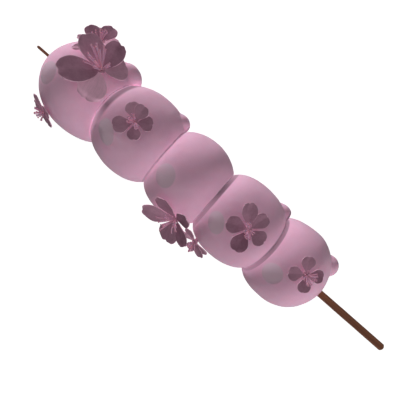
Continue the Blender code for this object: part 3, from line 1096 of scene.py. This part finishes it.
class StamenTree:
    """The rule that grows stamens: threads on points round the heart, each with an anther at its tip."""

    sag: float = 0.22  # how far a thread bends over, as a share of its length
    anther_shape: tuple[float, ...] = (0.85, 1.2, 0.8)
    lean_range: tuple[float, float] = (0.55, 1.15)  # shares of the tuft's lean
    foot_range: tuple[float, float] = (0.3, 1.0)  # shares of the foot's radius
    size_range: tuple[float, float] = (0.72, 1.08)  # shares of the full size
    whole_numbers: tuple[str, ...] = ("Count", "Seed")
    sizes: tuple[str, ...] = ("Length", "Lean", "Toward", "Fan", "Thickness", "Anther", "Foot")

    def __init__(self, material: Material) -> None:
        """Builds the tree.

        Args:
            material: The stamens' finish.
        """
        self.tree = bpy.data.node_groups.new("stamens", "GeometryNodeTree")
        kinds = {name: "Float" for name in self.sizes} | {name: "Int" for name in self.whole_numbers}
        for name, kind in {"Geometry": "Geometry", **kinds}.items():
            self.tree.interface.new_socket(name, in_out="INPUT", socket_type=f"NodeSocket{kind}")
        self.tree.interface.new_socket("Geometry", in_out="OUTPUT", socket_type="NodeSocketGeometry")
        self.bench = NodeBench(self.tree)
        self.given = self.bench.add("NodeGroupInput").outputs
        real = self.node("RealizeInstances", Geometry=self.scatter(self.one_stamen()))
        self.bench.add("NodeGroupOutput", {0: self.node("SetMaterial", Geometry=real, Material=material)})

    def node(self, kind: str, **inputs: object) -> Socket:
        """The first output of a new geometry node; an underscore stands for a space in an input's name."""
        named = {name.replace("_", " "): value for name, value in inputs.items()}
        return self.bench.add(f"GeometryNode{kind}", named).outputs[0]

    def reached(self, geometry: Socket, reach: object) -> Socket:
        """The geometry, which now keeps how far up the stamen it is."""
        return self.node("StoreNamedAttribute", Geometry=geometry, Name="reach", Value=reach)

    def one_stamen(self) -> Socket:
        """A single thread with its anther, standing on the origin.

        Returns:
            The geometry socket.
        """
        bench, length = self.bench, self.given["Length"]
        straight = self.node("CurvePrimitiveLine", End=bench.vector(Z=length))
        fine = self.node("ResampleCurve", Curve=straight, Count=7)
        share = bench.add("GeometryNodeSplineParameter").outputs["Factor"]
        sag = bench.times(bench.times(share, share), bench.times(length, self.sag))
        curved = self.node("SetPosition", Geometry=fine, Offset=bench.vector(X=sag))
        line = self.reached(curved, bench.times(share, 0.8))
        profile = self.node("CurvePrimitiveCircle", Resolution=6, Radius=self.given["Thickness"])
        thread = self.node("CurveToMesh", Curve=line, Profile_Curve=profile, Fill_Caps=True)
        bead = self.node("MeshIcoSphere", Radius=self.given["Anther"], Subdivisions=2)
        tip = bench.vector(X=bench.times(length, self.sag), Z=length)
        set_up = self.node("Transform", Geometry=bead, Translation=tip, Scale=self.anther_shape)
        both = bench.add("GeometryNodeJoinGeometry")
        for geometry in (thread, self.reached(set_up, 1.0)):
            bench.tree.links.new(geometry, both.inputs[0])
        return both.outputs[0]

    def chance(self, low: float, high: float, step: int) -> Socket:
        """A random number for each stamen.

        Args:
            low: The least that it can be.
            high: The most.
            step: Keeps it apart from the other random numbers.

        Returns:
            The socket.
        """
        seed = self.bench.math("ADD", self.given["Seed"], float(step))
        node = self.bench.add("FunctionNodeRandomValue", {2: low, 3: high, "Seed": seed}, data_type="FLOAT")
        return node.outputs[1]

    def scatter(self, stamen: Socket) -> Socket:
        """Stamens on points round the heart, each leaning outwards by its own amount.

        Args:
            stamen: The single stamen.

        Returns:
            The socket of the instances.
        """
        bench, given = self.bench, self.given
        turn = bench.math("ADD", given["Toward"], bench.times(given["Fan"], self.chance(-1.0, 1.0, 1)))
        lean = bench.times(given["Lean"], self.chance(*self.lean_range, 2))
        foot = bench.times(given["Foot"], self.chance(*self.foot_range, 3))
        x, y = (bench.times(foot, bench.math(part, turn)) for part in ("COSINE", "SINE"))
        points = self.node("Points", Count=given["Count"], Position=bench.vector(X=x, Y=y))
        turned = bench.add("FunctionNodeEulerToRotation", {0: bench.vector(Y=lean, Z=turn)}).outputs[0]
        size = self.chance(*self.size_range, 4)
        return self.node("InstanceOnPoints", Points=points, Instance=stamen, Rotation=turned, Scale=size)

    def grow(self, spray: Spray, thickness: float, anther: float, foot: float, seed: int) -> Mesh:
        """Grows one tuft as a plain mesh, standing on the origin with the flower's axis upwards.

        Args:
            spray: Where the tuft leans, how many stamens it has and how long they are.
            thickness: A thread's radius.
            anther: An anther's radius.
            foot: How far from the middle the threads may stand.
            seed: The chance numbers' seed.

        Returns:
            The mesh.
        """
        carrier = put("stamen_carrier", bpy.data.meshes.new("stamen_carrier"))
        modifier = carrier.modifiers.new("stamens", "NODES")
        modifier.node_group = self.tree
        angles = (math.radians(angle) for angle in (spray.lean, spray.toward, spray.fan))
        sizes = (spray.length * MM, *angles, thickness, anther, foot)
        values = dict(zip(self.sizes + self.whole_numbers, (*sizes, spray.count, seed)))
        for item in self.tree.interface.items_tree:
            if item.in_out == "INPUT" and item.name in values:
                modifier[item.identifier] = values[item.name]
        carrier.update_tag()
        graph = bpy.context.evaluated_depsgraph_get()
        graph.update()
        mesh = bpy.data.meshes.new_from_object(carrier.evaluated_get(graph), depsgraph=graph)
        carrier.modifiers.remove(modifier)
        bpy.data.objects.remove(carrier, do_unlink=True)
        return mesh


@dataclass
class Blossom:
    """One cherry blossom set firmly on a ball: petals, a tuft of stamens and the small cup that holds them.
    """

    number: int
    ball: DoughBall
    roll: float
    lean: float
    nod_across: float  # degrees that it nods across the stick
    nod_along: float  # degrees that it nods along the stick
    stalk: float  # its height above the dough
    bend: float  # degrees that each petal bends back over its length
    petals: tuple[Petal, ...]
    sprays: tuple[Spray, ...]
    heart: float = 1.1 * MM  # the cup's radius
    thickness: float = 0.26 * MM  # of a petal
    overlap: float = 0.03 * MM  # how much higher every other petal lies
    thread: float = 0.18 * MM  # a stamen's radius
    anther: float = 0.3 * MM  # an anther's radius
    foot_share: float = 0.6  # a petal's width at its foot, as a share of its full width
    notch: float = 0.06  # depth of the nick at a petal's tip, as a share of its length
    notch_width: float = 0.14  # as a share of half the petal's width
    notch_stray: float = 0.12  # how far it may lie off the middle, as such a share
    ragged: float = 0.014  # how uneven its edge is there, as a share of its length
    ruffle: float = 0.016  # how far it waves up and down, as a share of its length
    nod: float = 0.012  # how far its tip may rise or sink, as a share of its length
    midrib: float = 0.012  # how far its middle sinks, as a share of its length
    midrib_width: float = 0.2  # as a share of half the petal's width
    cupping: float = 0.0495  # how far its sides rise, as a share of its width
    curl_shade: float = 6.0  # how much a curled edge darkens
    rounding: float = 1.35  # how much a petal's rows crowd towards its rim
    rows: int = 20
    columns: int = 16
    cup_steps: int = 30
    cup_radii: tuple[float, ...] = (0, 0.35, 0.62, 0.8, 0.98, 0.95, 0.72, 0.55, 0.5, 0)  # shares of `heart`
    cup_heights: tuple[float, ...] = (0.02, 0.06, 0.22, 0.3, 0.12, -0.2, -0.55, -0.9)  # in millimetres
    cup_roots: tuple[float, float] = (0.35 * MM, 0.4 * MM)  # how deep its last rings stand in the dough
    cup_lobes: int = 5
    lobe_depth: float = 0.07  # as a share of the cup's radius
    tuft_height: float = 0.25 * MM  # of the stamens' feet, above the flower's plane
    tuft_share: float = 0.5  # share of the cup's radius within which they stand

    def to_part(self) -> Matrix:
        """The matrix from the flower's frame, its axis on z, to the part's.

        Returns:
            The matrix.
        """
        outward = direction_of(self.roll, self.lean)
        along = Vector((1, 0, 0))
        along = (along - outward * along.dot(outward)).normalized()
        turned = Matrix((along, outward.cross(along), outward)).transposed().to_4x4()
        skin = float(self.ball.round_body(np.array([outward]))[0])
        foot = Vector((self.ball.centre, 0, 0)) + outward * (skin + self.stalk)
        nods = Matrix.Rotation(math.radians(self.nod_across), 4, "X")
        nods @= Matrix.Rotation(math.radians(self.nod_along), 4, "Y")
        return self.ball.line.to_part() @ Matrix.Translation(foot) @ turned @ nods

    def petal_points(self, petal: Petal, seed: float) -> tuple[Array, Array]:
        """The middle surface of one petal: rounded, nicked and cupped, with a soft ruffle towards its tip.

        Args:
            petal: The petal.
            seed: Makes its ruffle its own.

        Returns:
            Points in the flower's frame, rows by columns by 3, and the petal's map, rows by columns by 2.
        """
        length, width = petal.length * MM, petal.width * MM
        along, across = (
            np.sin(np.linspace(-1, 1, count + 1) * self.rounding) / math.sin(self.rounding)
            for count in (self.rows, self.columns)
        )
        along, across = along[:, None], across[None, :]
        off = across * np.sqrt(1 - along**2 / 2)
        share = (along * np.sqrt(1 - across**2 / 2) + 1) / 2
        side = off * width / 2 * (self.foot_share + (1 - self.foot_share) * smooth_step(share, 0.0, 0.5))
        tip = smooth_step(along, 0.2, 1.0)
        stray = self.notch_stray * math.sin(seed)
        nick = self.notch * np.exp(-(((across - stray) / self.notch_width) ** 2)) * tip**3
        ragged = self.ragged * np.sin(8 * across + seed * 2.1) * np.cos(17 * across + seed) * tip**4
        run = length * (share**0.8 - nick + ragged)
        lift, turn = math.radians(petal.lift), -math.radians(self.bend) / length
        out = self.heart * 0.75 + (np.sin(lift + turn * run) - math.sin(lift)) / turn
        rise = (math.cos(lift) - np.cos(lift + turn * run)) / turn
        rise += self.cupping * width * off**2 * np.sin(np.pi * np.clip(share * 0.9 + 0.05, 0, 1))
        rise += self.ruffle * length * np.sin(4.6 * across + seed) * tip
        rise += length * (self.nod * math.sin(seed * 1.7) * tip**3 - petal.curl * tip**5)
        rise -= self.midrib * length * np.exp(-((across / self.midrib_width) ** 2)) * np.sin(np.pi * share)
        cosine, sine = math.cos(math.radians(petal.direction)), math.sin(math.radians(petal.direction))
        places = np.stack([out * cosine - side * sine, out * sine + side * cosine, rise], axis=-1)
        return places, np.stack(np.broadcast_arrays((across + 1) / 2, (along + 1) / 2), axis=-1)

    def build_petals(self, material: Material) -> None:
        """Builds all the petals, each a closed thin leaf, as the piece that stands for the blossom's node.

        Args:
            material: The petals' finish.
        """
        name = f"blossom_{self.number}_petals"
        matrix = self.to_part()
        leaf = grid_faces(self.rows + 1, self.columns + 1)
        count = (self.rows + 1) * (self.columns + 1)
        points, faces, maps, pale, chance = [], [], [], [], []
        for index, petal in enumerate(self.petals):
            grid, flat_map = self.petal_points(petal, seed=self.number * 1.9 + index * 2.3)
            grid[..., 2] += self.overlap * (index % 2)
            points.append(moved(grid, matrix))
            faces += [tuple(index * count + face[corner] for corner in (0, 3, 2, 1)) for face in leaf]
            maps.append(flat_map.reshape(-1, 2))
            curled = petal.curl * smooth_step(flat_map[..., 1].ravel(), 0.6, 1.0) ** 5
            # each petal's painted light and shade, deeper where its edge curls down
            pale.append(petal.painted_lightness - self.curl_shade * curled)
            chance.append(np.full(count, self.number + index * 3.7))
        mesh = bpy.data.meshes.new(name)
        mesh.from_pydata(np.concatenate(points).tolist(), [], faces)
        mesh.shade_smooth()
        corners = np.empty(len(mesh.loops), np.int32)
        mesh.loops.foreach_get("vertex_index", corners)
        mesh.uv_layers.new(name="petal_map").data.foreach_set("uv", np.concatenate(maps)[corners].ravel())
        mark(mesh, "painted_lightness", np.concatenate(pale))
        mark(mesh, "chance", np.concatenate(chance))
        piece = place_piece(name, mesh, material, f"blossom_{self.number}")
        thicken = piece.modifiers.new("thickness", "SOLIDIFY")
        thicken.thickness = self.thickness
        thicken.offset = 0.0
        round_off = piece.modifiers.new("round edges", "SUBSURF")
        round_off.levels = round_off.render_levels = 1

    def build_stamens(self, tree: StamenTree, material: Material) -> None:
        """Builds the stamens as one piece.

        Args:
            tree: The rule that grows them.
            material: Their finish.
        """
        name = f"blossom_{self.number}_stamens"
        matrix = self.to_part() @ Matrix.Translation((0, 0, self.tuft_height))
        foot = self.heart * self.tuft_share
        bed = bmesh.new()
        for index, spray in enumerate(self.sprays):
            tuft = tree.grow(spray, self.thread, self.anther, foot, self.number * 10 + index)
            tuft.transform(matrix)
            bed.from_mesh(tuft)
            bpy.data.meshes.remove(tuft)
        mesh = bpy.data.meshes.new(name)
        bed.to_mesh(mesh)
        bed.free()
        mesh.shade_smooth()
        place_piece(name, mesh, material)

    def build_cup(self, material: Material) -> None:
        """Builds the fleshy cup under the petals, down to the dough, with its shallow bowl above them.

        Args:
            material: Its finish.
        """
        name = f"blossom_{self.number}_cup"
        shares, bowl = np.array(self.cup_radii), np.array(self.cup_heights) * MM
        heights = np.concatenate([bowl, [-self.stalk - root for root in self.cup_roots]])
        turns = np.linspace(0, 2 * np.pi, self.cup_steps, endpoint=False)
        radii = shares[:, None] * self.heart * (1 + self.lobe_depth * np.cos(self.cup_lobes * turns))
        level = np.broadcast_to(heights[:, None], radii.shape)
        points = np.stack([radii * np.cos(turns), radii * np.sin(turns), level], axis=-1)
        faces = grid_faces(*radii.shape, columns_close=True)
        mesh = mesh_of(name, moved(points, self.to_part()), faces, weld=0.001 * MM)
        place_piece(name, mesh, material)

    def build(self, tree: StamenTree, petal: Material, stamen: Material, cup: Material) -> None:
        """Builds the whole blossom.

        Args:
            tree: The rule that grows stamens.
            petal: The petals' finish.
            stamen: The stamens' finish.
            cup: The cup's finish.
        """
        self.build_petals(petal)
        self.build_stamens(tree, stamen)
        self.build_cup(cup)


# The whole skewer


@dataclass
class DangoSkewer:
    """The stick, the balls on it and their blossoms."""

    line: SkewerLine
    dough: Material
    wood: Material
    petal: Material
    stamen: Material
    cup: Material

    def balls(self) -> list[DoughBall]:
        """The five balls, from the tip to the handle.

        Returns:
            The balls, not yet built.
        """
        # Each seam: its place, its groove's radius, its tilt, the width of the shade painted on its tip side
        # and how dark it is round the seam; some also give the painted shade's width on the handle side, its
        # fade and its paler stretch.
        seams = (
            Seam(
                34.0 * MM, 11.0 * MM, -9, 3.4 * MM, back=0.05 * MM, blur=0.15, spared=0.4,
                shade=(0.05, 0.05, 0.15, 0.5, 1.0, 0.84, 0.84, 0.85, 0.0),
            ),
            Seam(54.9 * MM, 10.8 * MM, 5, 0.3 * MM, shade=(0.57, 0.5, 0.6, 0.67, 0.67)),
            Seam(
                75.7 * MM, 10.5 * MM, 0, 1.3 * MM, back=0.1 * MM,
                shade=(0.4, 0.52, 0.6, 0.65, 0.85, 1.0, 0.95, 0.78, 0.5),
            ),
            Seam(97.35 * MM, 10.4 * MM, 9, 0.75 * MM, shade=(0.36, 0.6, 0.8, 0.76, 0.76), back=0.8 * MM),
        )
        fold = Fold((-33.6, -39), (-19.6, 10.7), 0.09 * MM, 0.5 * MM)
        sizes = (
            (22.2, 14.8, Nub(83, 33, 5.2, 3.1), (), HighlightSpot(-19.0, -30.7, 3.8, 3.5)),
            (44.0, 14.65, Nub(82, 36, 3.7, 2.3), (fold,), HighlightSpot(-25.3, -17.8, 2.6, 3.8)),
            (65.6, 14.5, None, (), HighlightSpot(-19.1, -19.9, 3.4, 3.65)),
            (86.8, 14.35, Nub(82, 40, 3.9, 2.8), (), HighlightSpot(-22.2, -23.0, 2.6, 3.4)),
            (108.5, 14.0, Nub(84, 50, 3.6, 2.1), (), HighlightSpot(-25.3, -21.0, 3.3, 3.2)),
        )
        made = []
        for index, (centre, radius, *rest) in enumerate(sizes):
            at_seams = (None, *seams, None)[index:index + 2]
            place = (index + 1, centre * MM, radius * MM, self.line, self.dough)
            made.append(DoughBall(*place, *at_seams, *rest))
        made[0].free_reach = 15.1 * MM
        return made

    def blossoms(self, balls: list[DoughBall]) -> list[Blossom]:
        """The eight blossoms.

        Args:
            balls: The balls they sit on.

        Returns:
            The blossoms, not yet built.
        """
        return [
            Blossom(1, balls[0], 25.5, 17.5, 0, 0, 1.0 * MM, 10, (
                Petal(64, 7.3, 7.9, 6, 0.35), Petal(102, 9.3, 6.2, 19, 0.03), Petal(164, 9.6, 7.4, 18, 0.14),
                Petal(241, 12.3, 7.6, 15, 0.1), Petal(291, 9.7, 8.2, 7, 0.85, 0.08),
            ), (
                Spray(150, 28, 9, 6.2, 44), Spray(214, 16, 6, 6.0, 55), Spray(0, 180, 9, 3.4, 34),
            ), foot_share=0.85, thread=0.27 * MM),
            Blossom(2, balls[0], 54, -10.0, 25, 6, 1.3 * MM, 10, (
                Petal(32, 5.0, 4.6, 16, 0.9), Petal(93, 6.2, 5.2, 20, 0.06), Petal(162, 5.4, 5.0, 20, 0.12),
                Petal(214, 5.9, 2.6, 12, 0.6), Petal(248, 8.2, 2.4, 10, 0.5),
            ), (Spray(130, 60, 8, 3.4, 40), Spray(0, 180, 7, 2.4, 30))),
            Blossom(3, balls[0], -76, -17.5, -13, 2, 0.65 * MM, 8, (
                Petal(60, 4.6, 4.4, 10), Petal(131, 5.6, 4.4, 10), Petal(199, 4.8, 4.2, 10),
                Petal(278, 3.2, 4.2, 10), Petal(345, 4.2, 4.2, 10),
            ), (Spray(0, 180, 14, 2.9, 34),)),
            Blossom(4, balls[1], 5.5, 2.5, 0, 0, 0.7 * MM, 10, (
                Petal(-53, 4.6, 4.1, 12, 0.1), Petal(32, 4.5, 4.6, 12, 0.05), Petal(96, 4.7, 4.4, 26, 0.2),
                Petal(139, 5.1, 4.5, 8, 0.4), Petal(233, 5.7, 5.1, 12, 0.15),
            ), (Spray(185, 60, 7, 2.4, 48), Spray(-30, 25, 4, 2.3, 50), Spray(0, 180, 5, 1.7, 30))),
            Blossom(5, balls[2], -60, 21, -10, -30, 1.0 * MM, 8, (
                Petal(-79, 8.4, 7.4, 24, 0.15), Petal(-17, 8.2, 5.8, 24, -0.08),
                Petal(64, 9.7, 5.2, 24, -0.05), Petal(137, 9.2, 6.0, 24, 0.0),
                Petal(203, 10.9, 6.6, 24, 0.17),
            ), (Spray(230, 30, 9, 5.2, 40), Spray(20, 25, 5, 4.6, 30), Spray(0, 180, 9, 3.6, 30))),
            Blossom(6, balls[3], -82, -24, -20, 20, 1.0 * MM, 8, (
                Petal(-25, 5.4, 4.0, 18, 0.2), Petal(16, 4.9, 3.4, 12, 0.3), Petal(143, 5.8, 3.4, 6, 0.2),
                Petal(187, 4.3, 3.2, 8, 0.6), Petal(281, 4.0, 3.4, 25, 0.1),
            ), (Spray(285, 40, 6, 3.2, 30), Spray(0, 180, 6, 2.4, 30))),
            Blossom(7, balls[3], -1.5, 9.5, 0, 0, 0.7 * MM, 10, (
                Petal(-86, 6.6, 5.6, 12, -0.08), Petal(2, 5.1, 5.0, 12, 0.1), Petal(77, 5.9, 4.6, 12, 0.12),
                Petal(130, 7.3, 4.8, 12, 0.13), Petal(200, 6.5, 5.2, 12, 0.02),
            ), (Spray(275, 45, 9, 2.8, 46), Spray(170, 35, 6, 2.8, 44), Spray(0, 180, 7, 2.2, 30))),
            Blossom(8, balls[4], 2.5, 7.5, 0, 0, 0.7 * MM, 10, (
                Petal(-62, 4.5, 4.2, 12, 0.1), Petal(33, 4.4, 4.2, 12, 0.05), Petal(124, 4.8, 4.4, 12, 0.19),
                Petal(212, 5.0, 4.5, 12, 0.16),
            ), (Spray(22, 28, 7, 3.0, 50), Spray(300, 26, 6, 2.8, 44), Spray(0, 180, 6, 1.9, 30))),
        ]

    def build(self) -> None:
        """Builds every piece."""
        Stick(self.line, self.wood).build()
        balls = self.balls()
        for ball in balls:
            ball.build()
        tree = StamenTree(self.stamen)
        for blossom in self.blossoms(balls):
            blossom.build(tree, self.petal, self.stamen, self.cup)


# The studio


@dataclass(frozen=True)
class Lamp:
    """A soft square lamp that faces the middle of the skewer."""

    name: str
    towards: tuple[float, float]  # the way to it on the floor, as x and y
    rise: float  # degrees above the floor
    size: float  # its side
    power: float  # in watts
    gloss_only: bool = False  # whether it only shows as a reflection; the others only light the surfaces
    distance: float = 0.7

    def hang(self, aim: Vector) -> None:
        """Hangs the lamp.

        Args:
            aim: The place it faces.
        """
        data = bpy.data.lights.new(self.name, "AREA")
        data.size = self.size
        data.energy = self.power
        data.use_shadow = self.gloss_only
        lamp = put(self.name, data)
        lamp.visible_glossy = self.gloss_only
        lamp.visible_diffuse = not self.gloss_only
        level = Vector((*self.towards, 0)).normalized() * math.cos(math.radians(self.rise))
        way = level + Vector((0, 0, math.sin(math.radians(self.rise))))
        lamp.location = aim + way * self.distance
        lamp.rotation_euler = way.to_track_quat("Z", "Y").to_euler()


@dataclass
class Studio:
    """A pale floor, soft light and the camera."""

    line: SkewerLine
    floor_size: float = 3.0
    floor_glow: float = 0.84
    dome: float = 0.194
    backdrop: float = 1.0
    aim_along: float = 65 * MM  # the place that the lamps face, from the stick's tip
    view_along: float = 77.34 * MM  # the camera's place, from the stick's tip
    view_aside: float = -3.4 * MM
    view_height: float = 132.94 * MM
    view_angle: float = math.radians(59.96)
    view_turn: float = math.radians(40.94)
    lamps: tuple[Lamp, ...] = (
        Lamp("key", (-0.899, 0.438), 2, 0.18, 5.2),
        Lamp("fill", (0.906, -0.423), 13, 0.18, 2.75),
        Lamp("sheen", (-0.4, -0.67), 38, 0.7, 1.15, gloss_only=True),
    )

    def build(self) -> None:
        """Builds the floor, the lights and the camera."""
        self.build_floor()
        self.build_world()
        for lamp in self.lamps:
            lamp.hang(Vector((self.line.tip_x + self.aim_along, self.line.axis_y, self.line.height_at_tip)))
        self.build_camera()

    def build_floor(self) -> None:
        """A large pale plane just under the balls, which glows a little as a light table does."""
        half = self.floor_size / 2
        mesh = bpy.data.meshes.new("floor")
        corners = ((-half, -half), (half, -half), (half, half), (-half, half))
        mesh.from_pydata([(*corner, 0) for corner in corners], [], [(0, 1, 2, 3)])
        material = bpy.data.materials.new("pale_floor")
        material.use_nodes = True
        bench = NodeBench(material.node_tree)
        seen = bench.add("ShaderNodeLightPath").outputs["Is Camera Ray"]
        entries = material.node_tree.nodes["Principled BSDF"].inputs
        for name, value in (
            ("Base Color", (0.6, 0.6, 0.6, 1.0)), ("Roughness", 0.9), ("Specular IOR Level", 0.0),
            ("Emission Color", bench.mix_colour(seen, (0.0, 0.0, 0.0), (1.0, 1.0, 1.0))),
            ("Emission Strength", self.floor_glow),
        ):
            bench.feed(entries[name], value)
        mesh.materials.append(material)
        floor = put("floor", mesh)

    def build_world(self) -> None:
        """An even dome of light, and a pale backdrop behind the floor's edge."""
        world = bpy.data.worlds.new("studio")
        world.use_nodes = True
        bench = NodeBench(world.node_tree)
        world.node_tree.nodes.clear()
        light = bench.add("ShaderNodeBackground", {"Color": (1.0, 0.98, 0.97, 1.0), "Strength": self.dome})
        behind = bench.add("ShaderNodeBackground", {"Color": (1.0, 1.0, 1.0, 1.0), "Strength": self.backdrop})
        seen = bench.add("ShaderNodeLightPath").outputs["Is Camera Ray"]
        mixed = bench.add("ShaderNodeMixShader", {0: seen, 1: light.outputs[0], 2: behind.outputs[0]})
        bench.add("ShaderNodeOutputWorld", {0: mixed.outputs[0]})
        bpy.context.scene.world = world

    def build_camera(self) -> None:
        """The camera, which looks straight down on the skewer."""
        data = bpy.data.cameras.new("camera")
        data.sensor_fit = "HORIZONTAL"
        data.angle = self.view_angle
        data.clip_start = 5 * MM
        camera = put("camera", data)
        along, aside = self.line.tip_x + self.view_along, self.line.axis_y + self.view_aside
        place = Matrix.Translation((along, aside, self.view_height))
        camera.matrix_world = place @ Matrix.Rotation(self.view_turn, 4, "Z")
        bpy.context.scene.camera = camera
        bpy.context.scene.view_settings.view_transform = "Standard"


def main() -> None:
    """Builds the skewer and the studio round it."""
    logging.basicConfig(level=logging.INFO, format="%(name)s: %(message)s")
    line = SkewerLine.of_part()
    finishes = DoughFinish(), WoodFinish(), PetalFinish(), StamenFinish(), CupFinish()
    DangoSkewer(line, *(finish.material() for finish in finishes)).build()
    Studio(line).build()


if __name__ == "__main__":
    main()
